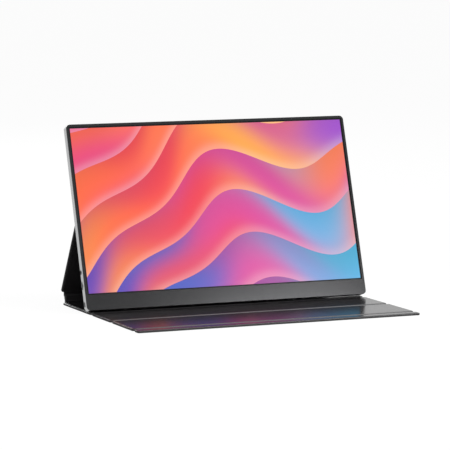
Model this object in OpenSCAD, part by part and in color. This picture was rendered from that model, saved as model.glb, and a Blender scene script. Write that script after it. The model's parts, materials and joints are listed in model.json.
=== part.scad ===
// Slim portable monitor standing on its folding leather cover.
// X runs along the screen, Y points away from the viewer, Z points up.
// The origin lies on the desk, under the middle of the line that the monitor stands on.

/* [Screen] */
// Width of the lit picture
screen_w = 344.2; // [300:0.1:380]
// Height of the lit picture
screen_h = 193.6; // [170:0.1:215]
// Black border round the picture, inside the bezel's window
black_border = 1.6; // [0.8:0.1:2.2]
// Width of the panel glass hidden behind the bezel
glass_overlap = 0.9; // [0.5:0.1:1.1]
// Extra glass below the picture, where the driver films are bonded
glass_ledge = 6; // [4:0.5:9]

/* [Monitor body] */
// Bezel width left and right of the picture, black border included
side_bezel = 4.6; // [4.4:0.1:9]
// Bezel width above the picture, black border included
top_bezel = 4.8; // [4.6:0.1:9]
// Height of the plain chin below the picture
chin_h = 19.8; // [17:0.1:30]
// Thickness of the whole monitor
body_t = 9.4; // [9.2:0.1:12]
// Radius of the four outer corners
corner_r = 5; // [3:0.5:9]
// Radius along the rear edge
rear_edge_r = 1.2; // [0.6:0.1:1.8]
// Radius along the front edge of the bezel
front_edge_r = 0.4; // [0.2:0.1:0.5]
// Thickness of the front bezel
bezel_t = 0.8; // [0.7:0.1:1]
// Thickness of the rear cover's side walls
side_wall = 1; // [0.8:0.1:1.1]
// Thickness of the rear cover's back
back_wall = 0.8; // [0.6:0.1:1]

/* [Stance] */
// How far the screen leans back from upright
tilt = 18; // [14:0.5:24]
// How far the spine leans back from upright
spine_lean = 23; // [15:1:30]
// Air left between the monitor's lower edge and the cover
foot_gap = 0.3; // [0.2:0.1:1]
// Height of the mount crease up the monitor's back
mount_crease_h = 109; // [100:1:115]

/* [Cover] */
// Width of the cover
cover_w = 346; // [330:1:352]
// Thickness of a cover panel
panel_t = 2.6; // [2.4:0.1:3.2]
// Thickness of the outer leather
leather_t = 0.7; // [0.5:0.05:0.8]
// Thickness of the lining
lining_t = 0.55; // [0.4:0.05:0.7]
// Width of the leather turned over a panel's edge
turned_edge = 2.2; // [1.6:0.1:2.8]
// Leather thickness round the edge of a stiffener board
edge_wall = 0.9; // [0.8:0.1:1.2]
// Corner radius of a cover panel
panel_corner_r = 3; // [2:0.5:3.5]
// Radius along the edges of a cover panel
panel_edge_r = 0.5; // [0.2:0.1:0.7]
// Half of the soft strip between two panels
crease_half = 2.2; // [2.1:0.1:2.4]
// Thickness of the leather strip in a crease
strip_t = 0.9; // [0.7:0.1:1]
// Radius of the bead that the crease folds on
bead_r = 0.65; // [0.55:0.05:0.75]
// Air between a bead and the strip that turns round it
bead_gap = 0.3; // [0.25:0.05:0.4]
// How much shorter a crease is than the cover, at each end
crease_inset = 4; // [3:0.5:6]
// Length of the support panel, crease to crease
support_len = 108; // [104:1:116]
// Length of the spine, crease to crease
spine_len = 12.4; // [12:0.1:14]
// Length of the mount panel above its crease
mount_len = 100; // [85:1:104]
// Distance of the rear flap crease in front of the screen
flap_crease_ahead = 1.5; // [1.2:0.1:3]
// Length of the middle flap panel, crease to crease
middle_len = 63; // [50:1:75]
// Length of the front flap panel, crease to crease
front_len = 68.4; // [50:0.1:80]
// Length of the closing lip beyond its crease
lip_len = 14.5; // [12:0.5:20]
// Radius of the disc magnets in the mount panel
disc_magnet_r = 6; // [4:0.5:8]
// Length of the bar magnets in the closing lip
bar_magnet_l = 20; // [12:1:30]

/* [Sockets and controls] */
// Depth of the sockets' centre line behind the front face
socket_depth = 6.6; // [6.5:0.1:6.7]
// Height of the audio jack above the monitor's lower edge
jack_h = 45.6; // [43:0.1:50]
// Height of the menu dial above the monitor's lower edge
dial_h = 30; // [26:0.5:32]
// Height of the power button above the monitor's lower edge
power_h = 8.2; // [8:0.1:12]
// Radius of the audio jack's bore
jack_bore_r = 1.8; // [1.75:0.05:1.9]
// Depth of the audio jack's bore
jack_bore_l = 14; // [12:0.5:15]
// Height of the charging socket above the monitor's lower edge
usb_power_h = 30; // [27:0.5:32]
// Height of the video socket above the monitor's lower edge
usb_video_h = 45.6; // [43:0.1:48]
// Height of the small display socket above the monitor's lower edge
hdmi_h = 63; // [60:0.5:66]
// Radius of the menu dial
dial_r = 4.2; // [3.8:0.1:4.4]
// Thickness of the menu dial
dial_t = 2.4; // [2:0.1:2.6]
// How far the menu dial stands out of the side
dial_proud = 0.8; // [0.5:0.1:1]
// Length of the power button
power_l = 5.6; // [4.5:0.1:7]
// Width of the power button
power_w = 2.4; // [2:0.1:2.6]
// How far the power button stands out of the side
power_proud = 0.5; // [0.3:0.1:0.6]

/* [Hidden] */
$fn = 48;

// Small air gap between pieces that lie on each other, and overlap that fuses shapes
fit_gap = 0.05;
fuse = 0.5;
cut = 1;

body_w = screen_w + 2 * side_bezel;
body_h = chin_h + screen_h + top_bezel;
side_x = body_w / 2;
inner_x = side_x - side_wall;
inner_y = body_t - back_wall;

// The monitor leans on its rounded lower rear edge
lowest_edge = body_t * sin(tilt) - rear_edge_r * (cos(tilt) + sin(tilt) - 1);
stand_y = -rear_edge_r * sin(tilt) - (body_t - rear_edge_r) * cos(tilt);
stand_z = panel_t + foot_gap + lowest_edge;

// Crease axes, as [y, z]. The mount panel lies on the monitor's back
cover_gap = 0.15;
mount_axis_t = body_t + cover_gap + panel_t / 2;
mount_axis = [stand_y + mount_crease_h * sin(tilt) + mount_axis_t * cos(tilt),
    stand_z + mount_crease_h * cos(tilt) - mount_axis_t * sin(tilt)];
support_axis_z = panel_t / 2 + spine_len * cos(spine_lean);
support_rise = mount_axis[1] - support_axis_z;
support_run = sqrt(support_len * support_len - support_rise * support_rise);
support_axis = [mount_axis[0] + support_run, support_axis_z];
spine_axis = [support_axis[0] - spine_len * sin(spine_lean), panel_t / 2];
base_axis = [stand_y - flap_crease_ahead, panel_t / 2];
base_len = spine_axis[0] - base_axis[0];
middle_axis = [base_axis[0] - middle_len, panel_t / 2];
front_axis = [middle_axis[0] - front_len, panel_t / 2];
lip_axis = [front_axis[0] - lip_len, panel_t / 2];
spine_angle = 90 - spine_lean;
support_angle = atan2(support_rise, -support_run);
mount_angle = 90 - tilt;

// Depths of the display's layers behind the front face
glass_y = bezel_t + fit_gap;
glass_t = 1.1;
sheet_y = glass_y + glass_t + fit_gap;
film_t = 0.4;
guide_y = sheet_y + film_t + fit_gap;
guide_t = 0.8;
tray_y = guide_y + guide_t + fit_gap;
tray_t = 0.35;
driver_board_y = tray_y + tray_t + 0.1;
driver_board_t = 0.6;

glass_w = screen_w + 2 * (black_border + glass_overlap);
glass_top = chin_h + screen_h + black_border + glass_overlap;
glass_bottom = chin_h - glass_ledge;
frame_bar = 2;
tray_wall = 0.4;
bezel_lip = inner_x - glass_w / 2 - 2 * fit_gap;
stack_corner = corner_r - side_wall - bezel_lip - 2 * fit_gap;
window_corner = max(0.6, stack_corner - black_border - glass_overlap);
guide_w = glass_w - 2 * (frame_bar + fit_gap);
led_bar_h = 2.6;
guide_bottom = glass_bottom + frame_bar + led_bar_h + 2 * fit_gap;
guide_h = glass_top - frame_bar - fit_gap - guide_bottom;

// Circuit boards, which carry the sockets on their rear side
socket_h = 3.16;
board_t = 0.8;
board_rear_y = socket_depth - socket_h / 2 - 0.02;
board_y = board_rear_y - board_t;
board_edge_x = side_x - 3.2;
main_board_w = 77;
main_board_x = board_edge_x - main_board_w;
main_board_z = 17;
main_board_h = 75;
ribbon_notch = [22, 16];
ribbon_notch_z = 30;
foot_screw_inset = 30;
button_board_w = 18;
button_board_z = 3;
button_board_h = 55;
screw_r = 0.8;
screw_head_r = 1.9;
screw_head_t = 0.45;
screw_hole_r = 0.85;
boss_r = 2.2;
screw_inset = 4;
screw_spots = [
    [board_edge_x - foot_screw_inset, main_board_z + screw_inset],
    [main_board_x + screw_inset, main_board_z + main_board_h - screw_inset],
    [board_edge_x - screw_inset, main_board_z + main_board_h - screw_inset],
    [-board_edge_x + button_board_w - 3.5, button_board_z + screw_inset],
    [-board_edge_x + button_board_w - 3.5, button_board_z + button_board_h - screw_inset]];
screw_end_y = inner_y - 0.6;

// Sockets and controls in the side walls
socket_gap = 0.15;
socket_back = 7.5;
socket_recess = 0.4;
usb_l = 8.94;
usb_wall = 0.3;
hdmi_l = 11.2;
hdmi_flank = 1.2;
barrel_r = 2.6;
jack_body_t = 2 * (inner_y - socket_depth) - 0.1;
jack_body_h = 6.4;
control_gap = 0.2;
dial_x = side_x + dial_proud - dial_r;
dial_slot_l = 9.6;
dial_pin_r = 0.75;
dial_bore_r = 0.8;
dial_travel = 0.6;
knurls = 28;
knurl_r = 0.22;
carrier_t = 0.4;
carrier_h = 7;
carrier_post = 1.5;
carrier_x = dial_x - dial_r - 0.6;
power_travel = 0.4;
flange_t = 0.6;
flange_rim = 0.5;
switch_l = 4;

// Speakers lie in the chin, over slots in the bottom wall
speaker_w = 64;
speaker_inset = 40.7;
speaker_x = side_x - speaker_inset - speaker_w;
speaker_z = side_wall + 0.8;
speaker_h = 10.4;
speaker_y = bezel_t + glass_t + 2 * fit_gap;
speaker_t = inner_y - 0.3 - speaker_y;
vent_count = 9;
vent_pitch = 6;
vent_l = 4;
vent_w = 1.2;

// Magnets in the mount panel meet steel plates inside the monitor
plate_w = 84;
plate_h = 36;
plate_t = 0.6;
plate_rise = 26;
magnet_x = [68, 108];
lip_magnet_x = [55, 120];
lip_magnet_w = 4;

leather_color = "#1d1d1f";
lining_color = "#2a2a2d";
fibre_color = "#8d7b5b";
alloy_color = "#b7babd";
bezel_color = "#55585b";
board_color = "#1f5a38";
socket_color = "#c9ccd0";
dark_color = "#161618";
steel_color = "#8f9499";

module round_rect(w, h, r) {
    square([w - 2 * r, h], center = true);
    square([w, h - 2 * r], center = true);
    for (x = [-1, 1], y = [-1, 1])
        translate([x * (w / 2 - r), y * (h / 2 - r)]) circle(r);
}

module pill(l, w) {
    square([l - w, w], center = true);
    for (x = [-1, 1]) translate([x * (l - w) / 2, 0]) circle(w / 2);
}

// Upright sheet: centred on X, from z0 up by h, from depth y by t
module sheet(w, z0, h, r, y, t) {
    translate([0, y + t, z0 + h / 2]) rotate([90, 0, 0]) linear_extrude(t) round_rect(w, h, r);
}

module block(x0, x1, y0, y1, z0, z1) {
    translate([x0, y0, z0]) cube([x1 - x0, y1 - y0, z1 - z0]);
}

module edge_profile(reach, depth, edge) {
    square([reach - edge, depth]);
    square([reach, depth - edge]);
    translate([reach - edge, depth - edge]) circle(edge);
}

module full_profile(reach, depth, edge) {
    edge_profile(reach, depth, edge);
    mirror([1, 0]) edge_profile(reach, depth, edge);
}

// Slab with round corners and one rounded face edge, its flat face at y = 0
module soft_slab(w, h, t, corner, edge) {
    translate([0, 0, corner]) linear_extrude(h - 2 * corner) full_profile(w / 2, t, edge);
    translate([0, 0, h / 2]) rotate([0, 90, 0])
        linear_extrude(w - 2 * corner, center = true) full_profile(h / 2, t, edge);
    for (x = [-1, 1], z = [corner, h - corner])
        translate([x * (w / 2 - corner), 0, z]) rotate([-90, 0, 0])
            rotate_extrude() edge_profile(corner, t, edge);
}

// Shape pushed sideways out of the monitor, from x0 to x1, centred on the sockets' line
module sideways(x0, x1, z) {
    translate([x0, socket_depth, z]) rotate([0, 90, 0]) linear_extrude(x1 - x0) children();
}

module along_y(r, y0, y1) {
    translate([0, y0, 0]) rotate([-90, 0, 0]) cylinder(r = r, h = y1 - y0);
}

// Monitor's own frame: X along the screen, Y into the body, Z up the body
module on_monitor() {
    translate([0, stand_y, stand_z]) rotate([-tilt, 0, 0]) children();
}

// Panel's own frame: X along its crease, Y away from the crease, Z towards the lining
module on_crease(axis, angle) {
    translate([0, axis[0], axis[1]]) rotate([angle, 0, 0]) children();
}

module hdmi_outline(grow) {
    half_l = hdmi_l / 2 + grow;
    half_h = socket_h / 2 + grow;
    polygon([[-half_l, -half_h], [-half_l, half_h - hdmi_flank], [-half_l + hdmi_flank, half_h],
        [half_l - hdmi_flank, half_h], [half_l, half_h - hdmi_flank], [half_l, -half_h]]);
}

module screw_row() {
    for (s = screw_spots) translate([s[0], 0, s[1]]) children();
}

module vents() {
    for (side = [-1, 1], i = [0 : vent_count - 1])
        translate([side * (speaker_x + speaker_w / 2 + (i - (vent_count - 1) / 2) * vent_pitch),
            socket_depth - 1, -cut])
            linear_extrude(side_wall + 2 * cut) pill(vent_l, vent_w);
}

module rear_cover() color(alloy_color) on_monitor() difference() {
    union() {
        difference() {
            translate([0, bezel_t, 0])
                soft_slab(body_w, body_h, body_t - bezel_t, corner_r, rear_edge_r);
            sheet(body_w - 2 * side_wall, side_wall, body_h - 2 * side_wall,
                corner_r - side_wall, bezel_t - cut, inner_y - bezel_t + cut);
        }
        screw_row() along_y(boss_r, board_rear_y, inner_y + back_wall / 2);
        for (side = [-1, 1], end = [-1, 1])
            translate([side * (speaker_x + speaker_w / 2) + end * (speaker_w / 2 + 1.2), 0, 0])
                block(-0.4, 0.4, speaker_y, inner_y + back_wall / 2, side_wall / 2,
                    speaker_z + speaker_h);
    }
    screw_row() along_y(screw_hole_r, board_rear_y - cut, screw_end_y + 0.2);
    for (z = [usb_power_h, usb_video_h])
        sideways(inner_x - cut, side_x + cut, z) pill(usb_l + 2 * socket_gap,
            socket_h + 2 * socket_gap);
    sideways(inner_x - cut, side_x + cut, hdmi_h) rotate(180) hdmi_outline(socket_gap);
    sideways(-side_x - cut, -inner_x + cut, jack_h) circle(barrel_r + fit_gap);
    sideways(-side_x - cut, -inner_x + cut, dial_h) pill(dial_slot_l, dial_t + 2 * control_gap);
    sideways(-side_x - cut, -inner_x + cut, power_h) pill(power_l + 2 * control_gap,
        power_w + 2 * control_gap);
    vents();
}

module front_bezel() color(bezel_color) on_monitor() {
    lip_outer_w = body_w - 2 * (side_wall + fit_gap);
    lip_outer_h = body_h - 2 * (side_wall + fit_gap);
    difference() {
        union() {
            translate([0, bezel_t, 0]) mirror([0, 1, 0])
                soft_slab(body_w, body_h, bezel_t, corner_r, front_edge_r);
            difference() {
                sheet(lip_outer_w, side_wall + fit_gap, lip_outer_h, corner_r - side_wall,
                    bezel_t - fuse / 2, glass_t + fuse / 2);
                sheet(lip_outer_w - 2 * bezel_lip, side_wall + fit_gap + bezel_lip,
                    lip_outer_h - 2 * bezel_lip, stack_corner, bezel_t - cut, glass_t + 2 * cut);
            }
        }
        sheet(screen_w + 2 * black_border, chin_h - black_border, screen_h + 2 * black_border,
            window_corner, -cut, bezel_t + 2 * cut);
    }
}

module lcd_glass() color("#101014") on_monitor() {
    filter_t = glass_t / 2;
    filter_bottom = chin_h - black_border - glass_overlap;
    sheet(glass_w, filter_bottom, glass_top - filter_bottom, stack_corner, glass_y, filter_t);
    sheet(glass_w, glass_bottom, glass_top - glass_bottom, stack_corner, glass_y + filter_t,
        filter_t);
}

module film_stack() color("#e9ecef") on_monitor()
    sheet(guide_w, guide_bottom, guide_h, 0.5, sheet_y, film_t);

module light_guide() color("#cfe2ea") on_monitor()
    sheet(guide_w, guide_bottom, guide_h, 0.5, guide_y, guide_t);

module led_bar() color("#f2efe0") on_monitor() {
    bar_z = glass_bottom + frame_bar + fit_gap;
    led_pitch = 8;
    led_count = floor(guide_w / led_pitch) - 1;
    bar_w = guide_w - 2;
    block(-bar_w / 2, bar_w / 2, sheet_y, guide_y + guide_t, bar_z, bar_z + led_bar_h / 2);
    for (i = [0 : led_count - 1])
        translate([(i - (led_count - 1) / 2) * led_pitch, 0, 0])
            block(-1.7, 1.7, guide_y, guide_y + guide_t, bar_z + led_bar_h / 2 - 0.1,
                bar_z + led_bar_h);
}

module panel_frame() color("#e4e4e0") on_monitor() difference() {
    sheet(glass_w, glass_bottom, glass_top - glass_bottom, stack_corner, sheet_y,
        tray_y - fit_gap - sheet_y);
    sheet(glass_w - 2 * frame_bar, glass_bottom + frame_bar,
        glass_top - glass_bottom - 2 * frame_bar, 0.5, sheet_y - cut, tray_y - sheet_y + 2 * cut);
}

module backlight_tray() color(steel_color) on_monitor() difference() {
    grow = fit_gap + tray_wall;
    sheet(glass_w + 2 * grow, glass_bottom - grow, glass_top - glass_bottom + 2 * grow,
        stack_corner + grow, sheet_y, tray_y + tray_t - sheet_y);
    sheet(glass_w + 2 * fit_gap, glass_bottom - fit_gap,
        glass_top - glass_bottom + 2 * fit_gap, stack_corner + fit_gap, sheet_y - cut,
        tray_y - sheet_y + cut);
    block(-screen_w / 2, screen_w / 2, sheet_y - cut, tray_y, glass_bottom - grow - cut,
        glass_bottom);
}

driver_board_inset = 66.7;
driver_board_x = -side_x + driver_board_inset;
driver_board_w = 170;
driver_board_z = glass_bottom + 0.8;
driver_board_h = 8.6;
flex_count = 5;
flex_w = 18;
flex_t = 0.12;

module panel_driver_board() color(board_color) on_monitor()
    block(driver_board_x, driver_board_x + driver_board_w, driver_board_y,
        driver_board_y + driver_board_t, driver_board_z, driver_board_z + driver_board_h);

// Each film folds round the tray's lower edge, from the glass ledge to the driver board
module panel_flexes() color("#9a6a2c") on_monitor()
    for (i = [0 : flex_count - 1]) {
        pitch = driver_board_w / flex_count;
        x = driver_board_x + (i + 0.5) * pitch;
        low = glass_bottom - fit_gap - tray_wall - 0.4;
        rear = driver_board_y + driver_board_t + 0.02;
        front = glass_y + glass_t - 0.2;
        translate([x - flex_w / 2, 0, 0]) {
            block(0, flex_w, front, front + flex_t, low, glass_bottom - 0.03);
            block(0, flex_w, front, rear + flex_t, low, low + flex_t);
            block(0, flex_w, rear, rear + flex_t, low, driver_board_z + 2);
        }
    }

module display_cable() color("#20262b") on_monitor() {
    cable_t = 0.2;
    cable_w = 5;
    step = 6;
    tail = 12;
    landing = 14;
    start = driver_board_x + driver_board_w - tail;
    low = driver_board_y + driver_board_t + 0.02;
    high = board_rear_y + 0.02;
    bend = main_board_x - 2;
    end = bend + landing;
    translate([0, 0, driver_board_z + 3.2]) linear_extrude(cable_w)
        polygon([[start, low], [bend - step, low], [bend, high], [end, high],
            [end, high + cable_t], [bend, high + cable_t], [bend - step, low + cable_t],
            [start, low + cable_t]]);
}

module main_board() color(board_color) on_monitor() difference() {
    block(main_board_x, board_edge_x, board_y, board_rear_y, main_board_z,
        main_board_z + main_board_h);
    screw_row() along_y(screw_hole_r + 0.2, board_y - cut, board_rear_y + cut);
    block(main_board_x - cut, main_board_x + ribbon_notch[0], board_y - cut, board_rear_y + cut,
        main_board_z + ribbon_notch_z, main_board_z + ribbon_notch_z + ribbon_notch[1]);
}

shield_w = 30;
shield_h = 34;
shield_inset = 6;
shield_rise = 26;
shield_x = main_board_x + ribbon_notch[0] + shield_inset;
shield_z = main_board_z + shield_rise;
shield_t = 2;
shield_wall = 0.25;
chip_size = 14;
chip_t = 1.2;
chip_x = shield_x + (shield_w - chip_size) / 2;
chip_z = shield_z + (shield_h - chip_size) / 2;

module scaler_chip() color(dark_color) on_monitor()
    block(chip_x, chip_x + chip_size, board_rear_y + 0.02, board_rear_y + chip_t, chip_z,
        chip_z + chip_size);

module board_shield() color(steel_color) on_monitor() difference() {
    block(shield_x, shield_x + shield_w, board_rear_y + 0.02, board_rear_y + shield_t, shield_z,
        shield_z + shield_h);
    block(shield_x + shield_wall, shield_x + shield_w - shield_wall, board_rear_y - cut,
        board_rear_y + shield_t - shield_wall, shield_z + shield_wall,
        shield_z + shield_h - shield_wall);
    for (i = [0 : 3], j = [0 : 3])
        translate([shield_x + 6 + i * 6, 0, shield_z + 8 + j * 6])
            along_y(0.8, board_rear_y + shield_t - 2 * shield_wall, board_rear_y + shield_t + cut);
}

module board_screws() color(steel_color) on_monitor() screw_row() {
    difference() {
        along_y(screw_head_r, board_y - screw_head_t, board_y - 0.01);
        translate([-screw_head_r, board_y - screw_head_t - cut, -0.2])
            cube([2 * screw_head_r, cut + 0.2, 0.4]);
    }
    along_y(screw_r, board_y - 0.2, screw_end_y);
}

module usb_c_socket(z) color(socket_color) on_monitor() {
    mouth = side_x - socket_recess;
    depth = 6.6;
    tongue_l = 6.7;
    tongue_t = 0.7;
    difference() {
        sideways(mouth - socket_back, mouth, z) pill(usb_l, socket_h);
        sideways(mouth - depth, mouth + cut, z) pill(usb_l - 2 * usb_wall,
            socket_h - 2 * usb_wall);
    }
    sideways(mouth - depth - fuse, mouth - 1.2, z) square([tongue_l, tongue_t], center = true);
}

module usb_c_power() usb_c_socket(usb_power_h);

module usb_c_video() usb_c_socket(usb_video_h);

module mini_hdmi_port() color(socket_color) on_monitor() {
    mouth = side_x - socket_recess;
    depth = 6.8;
    difference() {
        sideways(mouth - socket_back, mouth, hdmi_h) rotate(180) hdmi_outline(0);
        sideways(mouth - depth, mouth + cut, hdmi_h) rotate(180) hdmi_outline(-usb_wall);
    }
    sideways(mouth - depth - fuse, mouth - 1, hdmi_h) square([8, 0.6], center = true);
}

module audio_jack() color(dark_color) on_monitor() difference() {
    union() {
        sideways(-side_x + 0.1, -inner_x + fuse, jack_h) circle(barrel_r);
        sideways(-inner_x + fit_gap, -inner_x + fit_gap + jack_bore_l, jack_h)
            square([jack_body_h, jack_body_t], center = true);
    }
    sideways(-side_x - cut, -side_x + 0.1 + jack_bore_l, jack_h) circle(jack_bore_r);
}

module button_board() color(board_color) on_monitor() difference() {
    block(-board_edge_x, -board_edge_x + button_board_w, board_y, board_rear_y, button_board_z,
        button_board_z + button_board_h);
    block(-board_edge_x - cut, -inner_x + jack_bore_l + 2 * fit_gap, board_y - cut,
        board_rear_y + cut, jack_h - jack_body_h / 2 - 0.1, jack_h + jack_body_h / 2 + 0.1);
    screw_row() along_y(screw_hole_r + 0.2, board_y - cut, board_rear_y + cut);
}

module power_button() color(dark_color) on_monitor() {
    back = -inner_x + fit_gap + flange_t;
    difference() {
        sideways(-side_x - power_proud, back, power_h) pill(power_l, power_w);
        sideways(-side_x - power_proud - cut, -side_x - power_proud + 0.12, power_h)
            pill(power_l - 1.4, power_w - 1.4);
    }
    sideways(-inner_x + fit_gap, back, power_h) pill(power_l + 2 * flange_rim,
        power_w + 2 * flange_rim);
}

module power_switch() color(socket_color) on_monitor() {
    face = -inner_x + fit_gap + flange_t + power_travel + fit_gap;
    sideways(face, face + 1, power_h) circle(0.8);
    block(face + 0.6, face + 0.6 + switch_l, board_rear_y + 0.02, socket_depth + 1.4,
        power_h - 2.4, power_h + 2.4);
}

module at_dial() {
    translate([-dial_x, 0, dial_h]) children();
}

module menu_dial() color("#3b3d40") on_monitor() at_dial() difference() {
    along_y(dial_r, socket_depth - dial_t / 2, socket_depth + dial_t / 2);
    along_y(dial_bore_r, socket_depth - dial_t, socket_depth + dial_t);
    for (i = [0 : knurls - 1])
        rotate([0, i * 360 / knurls, 0]) translate([dial_r, 0, 0])
            along_y(knurl_r, socket_depth - dial_t, socket_depth + dial_t);
}

// Sliding carrier: its pin carries the dial, and its post works the switch
module dial_carrier() color(dark_color) on_monitor() {
    plate_y = socket_depth + dial_t / 2 + 0.15;
    pin_start = socket_depth - dial_t / 2 - 0.15;
    at_dial() along_y(dial_pin_r, pin_start, plate_y + carrier_t / 2);
    block(-dial_x - 2, -carrier_x + carrier_post, plate_y, plate_y + carrier_t,
        dial_h - carrier_h / 2, dial_h + carrier_h / 2);
    block(-carrier_x, -carrier_x + carrier_post, pin_start, plate_y + carrier_t,
        dial_h - carrier_h / 2, dial_h + carrier_h / 2);
}

module dial_switch() color(socket_color) on_monitor() {
    face = -carrier_x + carrier_post + dial_travel + 0.1;
    sideways(face, face + 1, dial_h) circle(0.9);
    block(face + 0.5, face + 0.5 + switch_l, board_rear_y + 0.02, socket_depth + 1.4,
        dial_h - 3, dial_h + 3);
}

module speaker() color(dark_color) on_monitor() {
    ear = 3;
    cone_l = speaker_w - 14;
    difference() {
        union() {
            translate([0, 0, speaker_z]) linear_extrude(speaker_h)
                translate([0, speaker_y + speaker_t / 2])
                    round_rect(speaker_w - 2 * ear, speaker_t, 1.2);
            block(-speaker_w / 2, speaker_w / 2, speaker_y + 1, speaker_y + 2.2, speaker_z + 2,
                speaker_z + speaker_h - 2);
        }
        translate([0, socket_depth - 1, speaker_z - cut]) linear_extrude(cut + 1) pill(cone_l, 3);
        for (end = [-1, 1])
            translate([end * (speaker_w / 2 - ear / 2), 0, speaker_z + speaker_h / 2])
                along_y(0.8, speaker_y, speaker_y + speaker_t);
    }
}

module speaker_left() translate([-speaker_x - speaker_w / 2, 0, 0]) speaker();

module speaker_right() translate([speaker_x + speaker_w / 2, 0, 0]) speaker();

plate_z = mount_crease_h + plate_rise;
plate_mid_x = (magnet_x[0] + magnet_x[1]) / 2;

module steel_plates() color(steel_color) on_monitor()
    for (side = [-1, 1]) translate([side * plate_mid_x, 0, 0])
        sheet(plate_w, plate_z, plate_h, 4, inner_y - plate_t - fit_gap, plate_t);

// Panel outline with all its edges rounded, from y0 to y1 in the panel's frame
module panel_blank(w, y0, y1) {
    l = y1 - y0;
    translate([0, y0 + l / 2, 0]) intersection() {
        translate([0, 0, -panel_t / 2]) linear_extrude(panel_t) round_rect(w, l, panel_corner_r);
        rotate([90, 0, 90]) linear_extrude(w + cut, center = true)
            round_rect(l, panel_t, panel_edge_r);
        rotate([90, 0, 0]) linear_extrude(l + cut, center = true)
            round_rect(w, panel_t, panel_edge_r);
    }
}

// Flat layer of a panel: inset from its outline, between two heights
module panel_layer(w, y0, y1, inset, z0, z1) {
    l = y1 - y0;
    translate([0, y0 + l / 2, z0]) linear_extrude(z1 - z0)
        round_rect(w - 2 * inset, l - 2 * inset, max(panel_corner_r - inset, 0.3));
}

board_z0 = -panel_t / 2 + leather_t;
board_z1 = panel_t / 2 - lining_t;

// Leather of one panel, open where the board and the lining lie, with its crease strips
module panel_leather(w, len, first_free = false, last_free = false) {
    y0 = first_free ? 0 : crease_half;
    y1 = last_free ? len : len - crease_half;
    strip_w = cover_w - 2 * crease_inset;
    difference() {
        panel_blank(w, y0, y1);
        panel_layer(w, y0, y1, edge_wall, board_z0, board_z1);
        panel_layer(w, y0, y1, turned_edge, board_z0, panel_t);
    }
    if (!first_free) {
        translate([-strip_w / 2, 0, -strip_t / 2]) cube([strip_w, crease_half + fuse, strip_t]);
        rotate([0, 90, 0]) cylinder(r = bead_r, h = strip_w, center = true);
    }
    if (!last_free)
        translate([-strip_w / 2, len - crease_half - fuse, -strip_t / 2])
            cube([strip_w, crease_half + fuse - bead_r - bead_gap, strip_t]);
}

module panel_lining(w, len, first_free = false, last_free = false) {
    y0 = first_free ? 0 : crease_half;
    y1 = last_free ? len : len - crease_half;
    panel_layer(w, y0, y1, turned_edge, board_z1, panel_t / 2);
}

module panel_board(w, len, first_free = false, last_free = false) {
    y0 = first_free ? 0 : crease_half;
    y1 = last_free ? len : len - crease_half;
    panel_layer(w, y0, y1, edge_wall, board_z0, board_z1);
}

spine_w = cover_w - 2 * crease_inset;

module mount_panel_leather() color(leather_color) on_crease(mount_axis, mount_angle)
    panel_leather(cover_w, mount_len, last_free = true);

module mount_panel_lining() color(lining_color) on_crease(mount_axis, mount_angle)
    panel_lining(cover_w, mount_len, last_free = true);

module magnet_discs(r) {
    for (side = [-1, 1], x = magnet_x)
        translate([side * x, plate_rise + plate_h / 2, board_z0])
            cylinder(r = r, h = board_z1 - board_z0);
}

module mount_panel_board() color(fibre_color) on_crease(mount_axis, mount_angle)
    difference() {
        panel_board(cover_w, mount_len, last_free = true);
        translate([0, 0, -cut]) scale([1, 1, 3]) magnet_discs(disc_magnet_r + fit_gap);
    }

module mount_magnets() color(socket_color) on_crease(mount_axis, mount_angle)
    magnet_discs(disc_magnet_r);

module support_panel_leather() color(leather_color) on_crease(support_axis, support_angle)
    panel_leather(cover_w, support_len);

module support_panel_lining() color(lining_color) on_crease(support_axis, support_angle)
    panel_lining(cover_w, support_len);

module support_panel_board() color(fibre_color) on_crease(support_axis, support_angle)
    panel_board(cover_w, support_len);

module spine_leather() color(leather_color) on_crease(spine_axis, spine_angle)
    panel_leather(spine_w, spine_len);

module spine_lining() color(lining_color) on_crease(spine_axis, spine_angle)
    panel_lining(spine_w, spine_len);

module spine_board() color(fibre_color) on_crease(spine_axis, spine_angle)
    panel_board(spine_w, spine_len);

module base_panel_leather() color(leather_color) on_crease(base_axis, 0)
    panel_leather(cover_w, base_len);

module base_panel_lining() color(lining_color) on_crease(base_axis, 0)
    panel_lining(cover_w, base_len);

module base_panel_board() color(fibre_color) on_crease(base_axis, 0)
    panel_board(cover_w, base_len);

module middle_panel_leather() color(leather_color) on_crease(middle_axis, 0)
    panel_leather(cover_w, middle_len);

module middle_panel_lining() color(lining_color) on_crease(middle_axis, 0)
    panel_lining(cover_w, middle_len);

module middle_panel_board() color(fibre_color) on_crease(middle_axis, 0)
    panel_board(cover_w, middle_len);

module front_panel_leather() color(leather_color) on_crease(front_axis, 0)
    panel_leather(cover_w, front_len);

module front_panel_lining() color(lining_color) on_crease(front_axis, 0)
    panel_lining(cover_w, front_len);

module front_panel_board() color(fibre_color) on_crease(front_axis, 0)
    panel_board(cover_w, front_len);

module closing_lip_leather() color(leather_color) on_crease(lip_axis, 0)
    panel_leather(cover_w, lip_len, first_free = true);

module closing_lip_lining() color(lining_color) on_crease(lip_axis, 0)
    panel_lining(cover_w, lip_len, first_free = true);

module magnet_bars(grow) {
    for (side = [-1, 1], x = lip_magnet_x)
        translate([side * x, (lip_len - crease_half) / 2, (board_z0 + board_z1) / 2])
            cube([bar_magnet_l + 2 * grow, lip_magnet_w + 2 * grow,
                board_z1 - board_z0 + 2 * grow], center = true);
}

module closing_lip_board() color(fibre_color) on_crease(lip_axis, 0) difference() {
    panel_board(cover_w, lip_len, first_free = true);
    magnet_bars(fit_gap);
}

module lip_magnets() color(socket_color) on_crease(lip_axis, 0) magnet_bars(0);

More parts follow.
